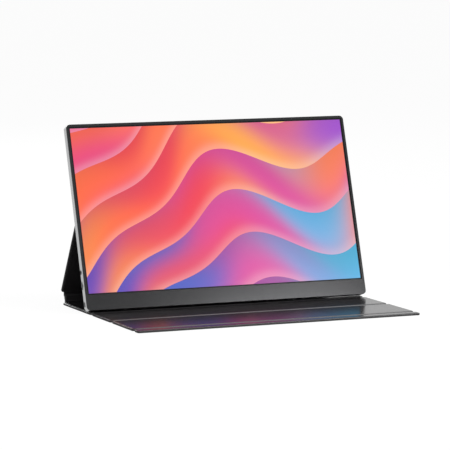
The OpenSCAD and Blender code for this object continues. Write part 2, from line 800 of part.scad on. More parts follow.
rear_cover();
front_bezel();
lcd_glass();
film_stack();
light_guide();
led_bar();
panel_frame();
backlight_tray();
panel_driver_board();
panel_flexes();
display_cable();
main_board();
scaler_chip();
board_shield();
board_screws();
usb_c_power();
usb_c_video();
mini_hdmi_port();
audio_jack();
button_board();
power_switch();
power_button();
dial_switch();
dial_carrier();
menu_dial();
speaker_left();
speaker_right();
steel_plates();
mount_panel_leather();
mount_panel_lining();
mount_panel_board();
mount_magnets();
support_panel_leather();
support_panel_lining();
support_panel_board();
spine_leather();
spine_lining();
spine_board();
base_panel_leather();
base_panel_lining();
base_panel_board();
middle_panel_leather();
middle_panel_lining();
middle_panel_board();
front_panel_leather();
front_panel_lining();
front_panel_board();
closing_lip_leather();
closing_lip_lining();
closing_lip_board();
lip_magnets();
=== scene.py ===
"""Dresses a slim portable monitor on its folding leather cover for a studio picture."""

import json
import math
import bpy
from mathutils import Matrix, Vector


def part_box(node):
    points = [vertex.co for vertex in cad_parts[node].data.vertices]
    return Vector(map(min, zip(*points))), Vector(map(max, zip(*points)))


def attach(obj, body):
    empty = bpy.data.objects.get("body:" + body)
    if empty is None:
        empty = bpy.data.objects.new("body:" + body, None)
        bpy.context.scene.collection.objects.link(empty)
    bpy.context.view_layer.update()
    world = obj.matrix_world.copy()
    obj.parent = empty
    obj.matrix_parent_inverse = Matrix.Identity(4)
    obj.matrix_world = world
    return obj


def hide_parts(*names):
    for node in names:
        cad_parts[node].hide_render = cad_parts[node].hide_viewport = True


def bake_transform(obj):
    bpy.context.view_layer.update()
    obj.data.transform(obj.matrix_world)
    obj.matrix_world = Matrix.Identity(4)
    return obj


bl_info = {
    "name": "Portable Monitor with Cover",
    "version": (1, 0, 0),
    "blender": (4, 5, 0),
    "location": "View3D > Sidebar > Monitor",
    "description": "Finishes, leather cover, screen picture and studio for a portable monitor",
    "category": "Object",
}

import bmesh
import bpy
from bpy.props import FloatProperty, FloatVectorProperty, IntProperty, PointerProperty
from mathutils import Matrix, Vector

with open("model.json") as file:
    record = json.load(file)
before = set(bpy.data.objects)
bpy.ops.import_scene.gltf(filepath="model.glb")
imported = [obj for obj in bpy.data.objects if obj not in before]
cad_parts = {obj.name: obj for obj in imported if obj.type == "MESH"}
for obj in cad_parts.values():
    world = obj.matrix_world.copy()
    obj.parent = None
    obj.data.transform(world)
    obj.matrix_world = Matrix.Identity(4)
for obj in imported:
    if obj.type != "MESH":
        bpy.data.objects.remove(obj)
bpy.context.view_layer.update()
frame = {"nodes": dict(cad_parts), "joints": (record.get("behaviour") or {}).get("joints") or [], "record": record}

X_AXIS = Vector((1, 0, 0))
MM = 0.001

HINGES = {joint["name"]: joint for joint in frame["joints"]}
SCREEN_UP = Vector(HINGES["monitor_lift"]["axis"])
SCREEN_BACK = SCREEN_UP.cross(X_AXIS)

# Each cover panel: its body, the crease it starts at and the crease it ends at, lip first
PANELS = {
    "closing_lip": ("closing_lip", None, "lip_fold"),
    "front_panel": ("front_panel", "lip_fold", "front_fold"),
    "middle_panel": ("middle_panel", "front_fold", "flap_fold"),
    "base_panel": ("base", "flap_fold", "spine_fold"),
    "spine": ("spine", "spine_fold", "support_fold"),
    "support_panel": ("support_panel", "support_fold", "mount_fold"),
    "mount_panel": ("mount_panel", "mount_fold", None),
}
# Each crease lies between two panels of that row
CREASES = {
    "lip_fold": ("closing_lip", "front_panel"),
    "front_fold": ("front_panel", "middle_panel"),
    "flap_fold": ("middle_panel", "base_panel"),
    "spine_fold": ("base_panel", "spine"),
    "support_fold": ("spine", "support_panel"),
    "mount_fold": ("support_panel", "mount_panel"),
}
# Creases whose lining gets a paler colour: a painted highlight standing in for the lit walls of these creases
HIGHLIT_CREASES = ("lip_fold", "front_fold")

# Air between a stiff panel's edge and the first bend of a crease's layers
EDGE_GAP = 0.2 * MM
# How far the leather of a crease stands up from the panels, and its groove from the lining's
LEATHER_RISE = 0.03 * MM
LEATHER_GROOVE = 0.2 * MM
# Least height of a layer over the fold line
LEAST_LIFT = 0.02 * MM
# How far a bend holds its first and last direction, as a share of its length
BEND_PULL = 0.42
# Corner radius and edge of a lining sheet
SHEET_CORNER = 0.6 * MM
SHEET_ROLL = 0.15 * MM


def span(node, direction):
    """How far a CAD node reaches along a direction, lowest and highest."""
    reaches = [vertex.co.dot(direction) for vertex in frame["nodes"][node].data.vertices]
    return min(reaches), max(reaches)


def crease_point(name):
    return Vector(HINGES[name]["pos_m"])


class CoverSizes(bpy.types.PropertyGroup):
    """Sizes of the leather cover."""

    crease_half: FloatProperty(
        name="Crease half width",
        description="Distance from a fold line to the edge of a stiff panel",
        default=2.2 * MM,
        unit="LENGTH",
    )
    edge_roll: FloatProperty(
        name="Edge roll",
        description="How far the leather's round edge reaches in from a panel's outline",
        default=1.0 * MM,
        unit="LENGTH",
    )
    corner: FloatProperty(
        name="Corner radius",
        description="Radius of a panel's corners",
        default=3.0 * MM,
        unit="LENGTH",
    )
    lining_inset: FloatProperty(
        name="Lining inset",
        description="Leather left to see round the lining",
        default=2.2 * MM,
        unit="LENGTH",
    )
    lining_rise: FloatProperty(
        name="Lining rise",
        description="How far the lining stands up from the turned leather",
        default=0.12 * MM,
        unit="LENGTH",
    )
    lining_thickness: FloatProperty(
        name="Lining thickness",
        description="Thickness of the lining",
        default=0.36 * MM,
        unit="LENGTH",
    )
    leather_thickness: FloatProperty(
        name="Leather thickness",
        description="Thickness of the leather in a crease",
        default=0.5 * MM,
        unit="LENGTH",
    )
    crease_lap: FloatProperty(
        name="Crease lap",
        description="How far a crease's layers run on to the panels",
        default=1.2 * MM,
        unit="LENGTH",
    )
    crease_inset: FloatProperty(
        name="Crease inset",
        description="How much shorter a crease is than the cover, at each end",
        default=4.0 * MM,
        unit="LENGTH",
    )
    groove: FloatProperty(
        name="Groove",
        description="Height of the pressed groove's floor over the fold line",
        default=0.35 * MM,
        unit="LENGTH",
    )
    crease_steps: IntProperty(
        name="Crease steps",
        description="Faces from a panel's edge to the floor of a crease",
        default=9,
        min=3,
        max=24,
    )
    leather_color: FloatVectorProperty(
        name="Leather",
        description="Colour of the outer leather",
        subtype="COLOR",
        default=(0.0065, 0.006, 0.0065),
    )
    lining_color: FloatVectorProperty(
        name="Lining",
        description="Colour of the lining",
        subtype="COLOR",
        default=(0.0075, 0.007, 0.0075),
    )
    # Paler grey painted on the lining of the lip and front creases as their highlight, in place of lit crease
    # walls
    crease_highlight_color: FloatVectorProperty(
        name="Painted crease highlight",
        description="Paler colour painted on the lining of the flap's creases as their highlight",
        subtype="COLOR",
        default=(0.05, 0.05, 0.051),
    )


class MonitorSizes(bpy.types.PropertyGroup):
    """Sizes and colours of the monitor."""

    picture_width: FloatProperty(
        name="Picture width",
        description="Width of the lit picture",
        default=344.2 * MM,
        unit="LENGTH",
    )
    picture_height: FloatProperty(
        name="Picture height",
        description="Height of the lit picture",
        default=193.6 * MM,
        unit="LENGTH",
    )
    picture_thickness: FloatProperty(
        name="Picture thickness",
        description="Thickness of the front filter that carries the picture",
        default=0.06 * MM,
        unit="LENGTH",
    )
    glass_overlap: FloatProperty(
        name="Glass overlap",
        description="Glass above the picture, border and hidden rim together",
        default=2.5 * MM,
        unit="LENGTH",
    )
    contact_width: FloatProperty(
        name="Contact width",
        description="Width of one gilt contact in a socket",
        default=0.25 * MM,
        unit="LENGTH",
    )
    alloy_color: FloatVectorProperty(
        name="Alloy",
        description="Colour of the back housing",
        subtype="COLOR",
        default=(0.44, 0.445, 0.45),
    )
    bezel_color: FloatVectorProperty(
        name="Bezel",
        description="Colour of the front frame",
        subtype="COLOR",
        default=(0.034, 0.034, 0.035),
    )


class StudioSettings(bpy.types.PropertyGroup):
    """Camera, lamps and floor."""

    lens: FloatProperty(
        name="Lens",
        description="Focal length in millimetres on a 36 mm sensor",
        default=227.7,
    )
    camera_place: FloatVectorProperty(
        name="Camera",
        description="Place of the camera",
        subtype="TRANSLATION",
        default=(-1.3027, -3.01405, 0.4729),
    )
    yaw: FloatProperty(
        name="Yaw",
        description="Turn of the camera to the right of straight ahead",
        subtype="ANGLE",
        default=math.radians(23.333),
    )
    pitch: FloatProperty(
        name="Pitch",
        description="Tilt of the camera below the horizon",
        subtype="ANGLE",
        default=math.radians(6.567),
    )
    room_light: FloatProperty(
        name="Room light",
        description="Strength of the light from all round",
        default=0.55,
    )
    key_power: FloatProperty(
        name="Key lamp",
        description="Power of the large lamp in front",
        default=38.0,
        unit="POWER",
    )
    side_power: FloatProperty(
        name="Side lamp",
        description="Power of the lamp at the right",
        default=16.0,
        unit="POWER",
    )
    rim_power: FloatProperty(
        name="Rim lamp",
        description="Power of the lamp behind the monitor",
        default=20.0,
        unit="POWER",
    )
    edge_power: FloatProperty(
        name="Edge lamp",
        description="Power of the lamp that draws the creases and the front edge",
        default=24.0,
        unit="POWER",
    )
    chin_power: FloatProperty(
        name="Chin lamp",
        description="Power of the small lamp that draws a highlight on the chin",
        default=2.4,
        unit="POWER",
    )
    floor_size: FloatProperty(
        name="Floor",
        description="Width of the floor",
        default=60.0,
        unit="LENGTH",
    )
    floor_glow: FloatProperty(
        name="Floor glow",
        description="Share of the floor that shows as plain white",
        default=0.94,
    )


class Reading:
    """A shader socket that plain arithmetic extends with Math nodes."""

    def __init__(self, finish, socket):
        self.finish = finish
        self.socket = socket

    def math(self, operation, *values):
        return self.finish.read("Math", {"operation": operation}, dict(enumerate(values)))

    def __add__(self, other):
        return self.math("ADD", self, other)

    def __radd__(self, other):
        return self.math("ADD", other, self)

    def __sub__(self, other):
        return self.math("SUBTRACT", self, other)

    def __rsub__(self, other):
        return self.math("SUBTRACT", other, self)

    def __mul__(self, other):
        return self.math("MULTIPLY", self, other)

    def __truediv__(self, other):
        return self.math("DIVIDE", self, other)

    def sine(self):
        return self.math("SINE", self)

    def fraction(self):
        return self.math("FRACT", self)

    def exponential(self):
        return self.math("EXPONENT", self)

    def clamped(self):
        return self.math("MINIMUM", self.math("MAXIMUM", self, 0.0), 1.0)


class Finish:
    """One named material and the nodes that give its look."""

    def __init__(self, name):
        self.material = bpy.data.materials.new(name)
        self.material.use_nodes = True
        self.tree = self.material.node_tree
        self.tree.nodes.clear()

    def node(self, kind, settings=None, values=None):
        """Adds a node, with its settings first and then the values or links of its sockets."""
        made = self.tree.nodes.new("ShaderNode" + kind)
        for name, setting in (settings or {}).items():
            if name == "stops":
                self.set_stops(made.color_ramp, setting)
            else:
                setattr(made, name, setting)
        for name, value in (values or {}).items():
            if isinstance(value, Reading):
                self.tree.links.new(value.socket, made.inputs[name])
            else:
                made.inputs[name].default_value = value
        return made

    def set_stops(self, ramp, stops):
        while len(ramp.elements) < len(stops):
            ramp.elements.new(0.5)
        for element, (place, color) in zip(ramp.elements, stops):
            element.position = place
            element.color = (*color, 1.0)

    def read(self, kind, settings=None, values=None, output=0):
        return Reading(self, self.node(kind, settings, values).outputs[output])

    def place(self, scale=(1, 1, 1), turn=(0, 0, 0)):
        """The surface's place in metres, scaled and turned."""
        spot = self.read("TexCoord", output="Object")
        return self.read("Mapping", None, {"Vector": spot, "Scale": scale, "Rotation": turn})

    def facing(self, axis):
        """How squarely the surface faces either way along an axis, from 0 to 1."""
        split = self.node("SeparateXYZ", None, {"Vector": self.read("TexCoord", output="Normal")})
        along = Reading(self, split.outputs[axis])
        return along.math("ABSOLUTE", along)

    def noise(self, where, scale, detail=3.0, roughness=0.5):
        values = {"Vector": where, "Scale": scale, "Detail": detail, "Roughness": roughness}
        return self.read("TexNoise", None, values, "Fac")

    def cells(self, where, scale, feature="F1", smoothness=None):
        values = {"Vector": where, "Scale": scale}
        if smoothness is not None:
            values["Smoothness"] = smoothness
        return self.read("TexVoronoi", {"feature": feature}, values, "Distance")

    def blend(self, factor, first, second):
        """A colour between two, as a Mix node."""
        made = self.node("Mix", {"data_type": "RGBA"})
        for index, value in ((0, factor), (6, first), (7, second)):
            socket = made.inputs[index]
            if isinstance(value, Reading):
                self.tree.links.new(value.socket, socket)
            else:
                socket.default_value = value if isinstance(value, float) else (*value, 1.0)
        return Reading(self, made.outputs[2])

    def bump(self, height, distance, strength=1.0):
        values = {"Height": height, "Distance": distance, "Strength": strength}
        return self.read("Bump", None, values, "Normal")

    def surface(self, values):
        """Ends the tree in one Principled shader with these values."""
        shader = self.node("BsdfPrincipled", None, values)
        end = self.node("OutputMaterial")
        self.tree.links.new(shader.outputs[0], end.inputs["Surface"])
        return self.material


def leather_finish(name, color, grain, roughness, grain_depth, gloss):
    """Pebbled artificial leather. grain is the size of a pebble in metres."""
    finish = Finish(name)
    where = finish.place()
    warp = finish.noise(where, 0.35 / grain, 2.0)
    pebbles = finish.cells(where, 1.0 / grain, "SMOOTH_F1", 0.35)
    fine = finish.cells(where, 2.3 / grain, "SMOOTH_F1", 0.4)
    pores = finish.noise(where, 5.0 / grain, 2.0, 0.6)
    drift = finish.noise(where, 22.0, 3.0)
    height = (1.0 - pebbles) * 0.6 + (1.0 - fine) * 0.25 + pores * 0.12 + warp * 0.1
    shade = (0.72 + drift * 0.5) * (1.12 - pebbles * 0.5)
    lighter = tuple(min(1.0, channel * 1.9 + 0.004) for channel in color)
    cut_edge = ((finish.facing("X") - 0.75) * 8.0).clamped()
    return finish.surface(
        {
            "Base Color": finish.blend((shade - 0.6).clamped(), color, lighter),
            "Roughness": ((drift * 0.4 + pebbles * 0.35 + 0.65) * roughness + cut_edge).clamped(),
            "Specular IOR Level": gloss,
            "Normal": finish.bump(height, grain_depth),
        }
    )


def metal_finish(name, color, roughness, blast=0.00018, lines=None, depth=0.000006):
    """Bead-blasted metal, or brushed metal where lines gives the brush marks' direction."""
    finish = Finish(name)
    stretch = (1, 1, 1) if lines is None else lines
    where = finish.place(scale=stretch)
    grain = finish.noise(where, 1.0 / blast, 2.0, 0.6)
    patches = finish.noise(finish.place(), 14.0, 3.0)
    darker = tuple(channel * 0.86 for channel in color)
    mottle = (0.3 + patches * 0.4 + grain * 0.3).clamped()
    return finish.surface(
        {
            "Base Color": finish.blend(mottle, darker, color),
            "Metallic": 1.0,
            "Roughness": (roughness + (patches - 0.5) * 0.06 + (grain - 0.5) * 0.08).clamped(),
            "Normal": finish.bump(grain, depth),
        }
    )


def plastic_finish(name, color, roughness, texture=0.0003, depth=0.000008):
    """Moulded plastic with the fine texture of its tool."""
    finish = Finish(name)
    where = finish.place()
    spark = finish.noise(where, 1.0 / texture, 3.0, 0.6)
    patches = finish.noise(where, 35.0, 2.0)
    lighter = tuple(min(1.0, channel * 1.25 + 0.003) for channel in color)
    return finish.surface(
        {
            "Base Color": finish.blend((patches * 0.6 + spark * 0.4).clamped(), color, lighter),
            "Roughness": (roughness + (spark - 0.5) * 0.12).clamped(),
            "Normal": finish.bump(spark, depth),
        }
    )


def board_finish(name, color):
    """Circuit board: solder mask over copper tracks."""
    finish = Finish(name)
    where = finish.place(turn=(0.3, 0, 0))
    tracks = finish.read(
        "TexBrick",
        {"offset": 0.37, "squash": 0.6},
        {
            "Vector": where,
            "Scale": 260.0,
            "Mortar Size": 0.09,
            "Brick Width": 1.9,
            "Row Height": 0.33,
        },
        "Fac",
    )
    dust = finish.noise(where, 900.0, 2.0)
    bright = tuple(channel * 1.8 + 0.01 for channel in color)
    return finish.surface(
        {
            "Base Color": finish.blend((tracks * 0.7 + dust * 0.2).clamped(), color, bright),
            "Roughness": (0.38 + dust * 0.15).clamped(),
            "Normal": finish.bump(tracks, 0.00002),
        }
    )


def fibre_finish(name, color):
    """Pressed fibre board."""
    finish = Finish(name)
    where = finish.place(scale=(0.3, 1, 1))
    fibres = finish.noise(where, 1400.0, 4.0, 0.7)
    darker = tuple(channel * 0.6 for channel in color)
    return finish.surface(
        {
            "Base Color": finish.blend(fibres, darker, color),
            "Roughness": (0.75 + fibres * 0.2).clamped(),
            "Normal": finish.bump(fibres, 0.00006),
        }
    )


def glass_finish(name, color):
    """Black border of the panel under its hard front filter."""
    finish = Finish(name)
    where = finish.place()
    haze = finish.noise(where, 2600.0, 2.0, 0.6)
    smear = finish.noise(where, 9.0, 2.0)
    lighter = tuple(channel + 0.004 for channel in color)
    return finish.surface(
        {
            "Base Color": finish.blend(smear, color, lighter),
            "Roughness": (0.26 + smear * 0.06).clamped(),
            "Specular IOR Level": 0.1,
            "Normal": finish.bump(haze, 0.000002),
        }
    )


# Colours of the picture on the screen, each at its place across and up the picture
RIBBON_COLORS = (
    ((0.00, 1.00), (226, 48, 120)),
    ((0.32, 1.00), (255, 110, 60)),
    ((0.64, 1.00), (255, 168, 52)),
    ((1.00, 1.00), (150, 60, 200)),
    ((0.05, 0.62), (255, 96, 48)),
    ((0.38, 0.62), (238, 40, 62)),
    ((0.70, 0.62), (214, 48, 150)),
    ((1.00, 0.58), (255, 120, 60)),
    ((0.00, 0.25), (246, 132, 54)),
    ((0.28, 0.25), (228, 54, 84)),
    ((0.58, 0.28), (224, 54, 150)),
    ((0.85, 0.22), (64, 178, 232)),
    ((0.05, -0.10), (88, 54, 186)),
    ((0.40, -0.10), (56, 88, 200)),
    ((0.72, -0.10), (168, 48, 154)),
    ((1.05, -0.10), (50, 172, 214)),
)


def linear(color):
    """A screen colour, 0 to 255, as scene-linear light."""
    shares = [channel / 255 for channel in color]
    return tuple(s / 12.92 if s <= 0.04045 else ((s + 0.055) / 1.055) ** 2.4 for s in shares)


def picture_finish(name, aspect):
    """Lit picture: soft ribbons of colour that fold over each other."""
    finish = Finish(name)
    spot = finish.read("UVMap", {"uv_map": "Picture"})
    split = finish.node("SeparateXYZ", None, {"Vector": spot})
    across = Reading(finish, split.outputs["X"])
    up = Reading(finish, split.outputs["Y"])
    turn = 2 * math.pi
    swell = (across * (0.95 * turn) + 0.30 * turn).sine() * 0.13
    ripple = (across * (1.9 * turn) + up * (0.5 * turn) + 0.4 * turn).sine() * 0.05
    ribbons = 4.6
    fold = ((up * 0.8 - across * 0.55 + swell + ripple) * ribbons).fraction()
    along = across + (fold - 0.5) * 0.20
    height = up - (fold - 0.5) * 0.50
    reach = 22.0
    light, total = None, None
    for (place_x, place_y), color in RIBBON_COLORS:
        near_x = (along - place_x) * (aspect / 1.3)
        near_y = height - place_y
        weight = ((near_x * near_x + near_y * near_y) * -reach).exponential()
        tint = finish.read(
            "VectorMath", {"operation": "SCALE"}, {0: linear(color), "Scale": weight}
        )
        if light is None:
            light, total = tint, weight
        else:
            light = finish.read("VectorMath", {"operation": "ADD"}, {0: light, 1: tint})
            total = total + weight
    crest_width, crest_light = 0.16, 0.16
    crest = ((fold * fold) * (-1.0 / crest_width**2)).exponential() * crest_light
    shade = 0.86 + ((1.0 - fold) * 1.6).clamped() * 0.14
    field = finish.read(
        "VectorMath", {"operation": "SCALE"}, {0: light, "Scale": shade * (1.0 - crest) / total}
    )
    lifted = finish.read("CombineXYZ", None, {"X": crest, "Y": crest, "Z": crest})
    picture = finish.read("VectorMath", {"operation": "ADD"}, {0: field, 1: lifted})
    haze = finish.noise(finish.place(), 3000.0, 2.0)
    return finish.surface(
        {
            "Base Color": (0.006, 0.006, 0.007, 1.0),
            "Roughness": (0.30 + haze * 0.06).clamped(),
            "Specular IOR Level": 0.3,
            "Emission Color": picture,
            "Emission Strength": 1.0,
        }
    )


def slot_finishes(scene):
    """A material for each of the record's slots."""
    cover, monitor = scene.cover_sizes, scene.monitor_sizes
    brushed = (0.05, 1, 1)
    return {
        "cover_leather": leather_finish(
            "cover leather", tuple(cover.leather_color), 0.0011, 0.34, 0.00003, 0.4
        ),
        "cover_lining": leather_finish(
            "cover lining", tuple(cover.lining_color), 0.0006, 0.18, 0.000003, 0.2
        ),
        "stiffener_board": fibre_finish("fibre board", (0.30, 0.22, 0.13)),
        "circuit_board": board_finish("circuit board", (0.012, 0.10, 0.045)),
        "silver_alloy": metal_finish(
            "silver alloy", tuple(monitor.alloy_color), 0.27, depth=0.000003
        ),
        "grey_bezel": metal_finish(
            "grey bezel", tuple(monitor.bezel_color), 0.21, lines=brushed
        ),
        "panel_glass": glass_finish("panel glass", (0.004, 0.004, 0.005)),
        "optical_film": plastic_finish("optical film", (0.80, 0.82, 0.84), 0.5),
        "light_guide_acrylic": plastic_finish("light guide", (0.72, 0.80, 0.82), 0.12),
        "led_bar": plastic_finish("light bar", (0.80, 0.78, 0.60), 0.4),
        "white_frame_plastic": plastic_finish("white frame", (0.78, 0.78, 0.75), 0.5),
        "tray_metal": metal_finish("tray metal", (0.45, 0.46, 0.48), 0.4, lines=brushed),
        "amber_film": plastic_finish("amber film", (0.40, 0.17, 0.03), 0.25),
        "cable_black": plastic_finish("black cable", (0.02, 0.02, 0.022), 0.4),
        "chip_black": plastic_finish("black chip", (0.02, 0.02, 0.022), 0.55),
        "shield_metal": metal_finish("tinned shield", (0.60, 0.61, 0.62), 0.3),
        "screw_steel": metal_finish("screw steel", (0.45, 0.46, 0.48), 0.28),
        "socket_metal": metal_finish("socket metal", (0.58, 0.59, 0.61), 0.25, lines=brushed),
        "black_plastic": plastic_finish("black plastic", (0.018, 0.018, 0.02), 0.5),
        "switch_metal": metal_finish("switch metal", (0.58, 0.59, 0.61), 0.3),
        "button_black": plastic_finish("button black", (0.02, 0.02, 0.022), 0.32),
        "dial_metal": metal_finish("dial metal", (0.10, 0.10, 0.105), 0.35),
        "plate_steel": metal_finish("plate steel", (0.45, 0.46, 0.48), 0.3, lines=brushed),
        "magnet_metal": metal_finish("magnet nickel", (0.62, 0.62, 0.63), 0.16),
    }


def finish_of(slot):
    """The material that a slot's pieces wear."""
    return bpy.data.materials[bpy.context.scene["slot_materials"][slot]]


def make_object(name, mesh):
    made = bpy.data.objects.new(name, mesh)
    bpy.context.scene.collection.objects.link(made)
    return made


def smooth(mesh):
    for face in mesh.polygons:
        face.use_smooth = True


class NodePlan:
    """A geometry node tree with named inputs, built one node at a time."""

    def __init__(self, name, inputs):
        self.tree = bpy.data.node_groups.new(name, "GeometryNodeTree")
        sockets = self.tree.interface
        sockets.new_socket("Geometry", in_out="OUTPUT", socket_type="NodeSocketGeometry")
        for label, kind in inputs:
            sockets.new_socket(label, in_out="INPUT", socket_type="NodeSocket" + kind)
        self.inputs = self.tree.nodes.new("NodeGroupInput")

    def given(self, label):
        return self.inputs.outputs[label]

    def node(self, kind, settings=None, values=None, output=0):
        made = self.tree.nodes.new(kind)
        for name, setting in (settings or {}).items():
            setattr(made, name, setting)
        for name, value in (values or {}).items():
            several = value if isinstance(value, list) else [value]
            for one in several:
                if isinstance(one, bpy.types.NodeSocket):
                    self.tree.links.new(one, made.inputs[name])
                else:
                    made.inputs[name].default_value = one
        return made.outputs[output]

    def math(self, operation, *values):
        return self.node("ShaderNodeMath", {"operation": operation}, dict(enumerate(values)))

    def end(self, geometry):
        real = self.node("GeometryNodeRealizeInstances", None, {"Geometry": geometry})
        coated = self.node(
            "GeometryNodeSetMaterial", None, {"Geometry": real, "Material": self.given("Material")}
        )
        finish = self.tree.nodes.new("NodeGroupOutput")
        self.tree.links.new(coated, finish.inputs["Geometry"])
        return self.tree


def grown(name, tree, values):
    """A plain mesh object from a geometry node tree with these inputs."""
    seed = make_object(name, bpy.data.meshes.new(name))
    modifier = seed.modifiers.new("Shape", "NODES")
    modifier.node_group = tree
    for item in tree.interface.items_tree:
        if item.item_type == "SOCKET" and item.in_out == "INPUT":
            modifier[item.identifier] = values[item.name]
    bpy.context.view_layer.update()
    result = seed.evaluated_get(bpy.context.evaluated_depsgraph_get())
    mesh = bpy.data.meshes.new_from_object(result)
    seed.modifiers.remove(modifier)
    seed.data = mesh
    mesh.name = name
    return seed


def board_tree():
    """Flat board wrapped in leather: round corners and a softly rolled edge all round."""
    corner_steps, edge_points = 10, 15
    fullness, merge_gap = 0.72, 0.000002
    plan = NodePlan(
        "Wrapped board",
        (
            ("Width", "Float"),
            ("Length", "Float"),
            ("Thickness", "Float"),
            ("Corner", "Float"),
            ("Edge roll", "Float"),
            ("Material", "Material"),
        ),
    )
    roll = plan.given("Edge roll")
    half = plan.math("MULTIPLY", plan.given("Thickness"), 0.5)
    outline = plan.node(
        "GeometryNodeCurvePrimitiveQuadrilateral",
        None,
        {
            "Width": plan.math("SUBTRACT", plan.given("Width"), plan.math("MULTIPLY", roll, 2.0)),
            "Height": plan.math("SUBTRACT", plan.given("Length"), plan.math("MULTIPLY", roll, 2.0)),
        },
    )
    radius = plan.math("SUBTRACT", plan.given("Corner"), roll)
    rounded = plan.node(
        "GeometryNodeFilletCurve",
        {"mode": "POLY"},
        {"Curve": outline, "Count": corner_steps, "Radius": radius},
    )
    level = plan.node("GeometryNodeSetCurveNormal", {"mode": "Z_UP"}, {"Curve": rounded})
    arc = plan.node(
        "GeometryNodeCurveArc",
        None,
        {
            "Resolution": edge_points,
            "Radius": 1.0,
            "Start Angle": -math.pi / 2,
            "Sweep Angle": math.pi,
        },
    )
    position = plan.node("GeometryNodeInputPosition")
    spot = plan.node("ShaderNodeSeparateXYZ", None, {"Vector": position})
    up = spot.node.outputs["Y"]
    bulge = plan.math("POWER", plan.math("MAXIMUM", spot, 0.0), fullness)
    climb = plan.math(
        "MULTIPLY",
        plan.math("SIGN", up),
        plan.math("POWER", plan.math("ABSOLUTE", up), fullness),
    )
    shaped = plan.node(
        "ShaderNodeCombineXYZ",
        None,
        {"X": plan.math("MULTIPLY", bulge, roll), "Y": plan.math("MULTIPLY", climb, half)},
    )
    profile = plan.node("GeometryNodeSetPosition", None, {"Geometry": arc, "Position": shaped})
    rim = plan.node("GeometryNodeCurveToMesh", None, {"Curve": level, "Profile Curve": profile})
    face = plan.node("GeometryNodeFillCurve", {"mode": "NGONS"}, {"Curve": level})
    above = plan.node("ShaderNodeCombineXYZ", None, {"Z": half})
    below = plan.node("ShaderNodeCombineXYZ", None, {"Z": plan.math("MULTIPLY", half, -1.0)})
    top = plan.node("GeometryNodeTransform", None, {"Geometry": face, "Translation": above})
    bottom = plan.node("GeometryNodeTransform", None, {"Geometry": face, "Translation": below})
    turned = plan.node("GeometryNodeFlipFaces", None, {"Mesh": bottom})
    joined = plan.node("GeometryNodeJoinGeometry", None, {"Geometry": [rim, top, turned]})
    merged = plan.node(
        "GeometryNodeMergeByDistance", None, {"Geometry": joined, "Distance": merge_gap}
    )
    soft = plan.node("GeometryNodeSetShadeSmooth", None, {"Geometry": merged, "Shade Smooth": True})
    return plan.end(soft)


def panel_frame_of(name):
    """A cover panel's start, its direction away from the lip, its lining side and its length."""
    _, first, last = PANELS[name]
    node = name + "_leather"
    if first and last:
        start, end = crease_point(first), crease_point(last)
        along = (end - start).normalized()
        length = (end - start).length
    elif first:
        start, along = crease_point(first), SCREEN_UP.copy()
        length = span(node, along)[1] - start.dot(along)
    else:
        end, along = crease_point(last), Vector((0, 1, 0))
        length = end.dot(along) - span(node, along)[0]
        start = end - along * length
    return start, along, X_AXIS.cross(along), length


def panel_matrix(start, along, lining_side, y, z):
    """Puts a shape drawn round the origin at a place along a panel and above its middle."""
    turn = Matrix((X_AXIS, along, lining_side)).transposed().to_4x4()
    turn.translation = start + along * y + lining_side * z
    return turn


def outward(mesh):
    """Merges doubles and turns every face outwards."""
    shape = bmesh.new()
    shape.from_mesh(mesh)
    bmesh.ops.remove_doubles(shape, verts=shape.verts, dist=0.0000005)
    bmesh.ops.recalc_face_normals(shape, faces=shape.faces)
    shape.to_mesh(mesh)
    shape.free()


def level_shading(piece):
    """Keeps large flat faces flat beside their round edges."""
    modifier = piece.modifiers.new("Level shading", "WEIGHTED_NORMAL")
    modifier.keep_sharp = True


def crease_path(name, side, thickness, sizes, panel_t):
    """Cross-section of one layer in a crease: points of its outer face, then of its inner face."""
    before, after = CREASES[name]
    pivot = crease_point(name)
    _, along_a, up_a, _ = panel_frame_of(before)
    _, along_b, up_b, _ = panel_frame_of(after)
    up_a, up_b = up_a * side, up_b * side
    middle_up = (up_a + up_b).normalized()
    middle_along = (along_a + along_b).normalized()
    rise = sizes.lining_rise if side > 0 else LEATHER_RISE
    face = panel_t / 2 + rise
    edge, lap = sizes.crease_half, sizes.crease_lap

    def layer(drop):
        floor = sizes.groove if side > 0 else sizes.groove + LEATHER_GROOVE
        lip_a = pivot - along_a * (edge + EDGE_GAP) + up_a * (face - drop)
        lip_b = pivot + along_b * (edge + EDGE_GAP) + up_b * (face - drop)
        low = pivot + middle_up * max(floor - drop, LEAST_LIFT)
        points = [lip_a - along_a * lap]
        points += bezier(lip_a, along_a, low, middle_along, sizes.crease_steps)
        points += bezier(low, middle_along, lip_b, along_b, sizes.crease_steps)[1:]
        points.append(lip_b + along_b * lap)
        return points

    return layer(0.0), layer(thickness)


def bezier(first, first_way, last, last_way, steps):
    """Smooth line between two points, leaving and arriving in the given directions."""
    pull = (last - first).length * BEND_PULL
    a, b = first + first_way * pull, last - last_way * pull
    points = []
    for step in range(steps + 1):
        t = step / steps
        s = 1 - t
        points.append(first * s**3 + a * 3 * s * s * t + b * 3 * s * t * t + last * t**3)
    return points


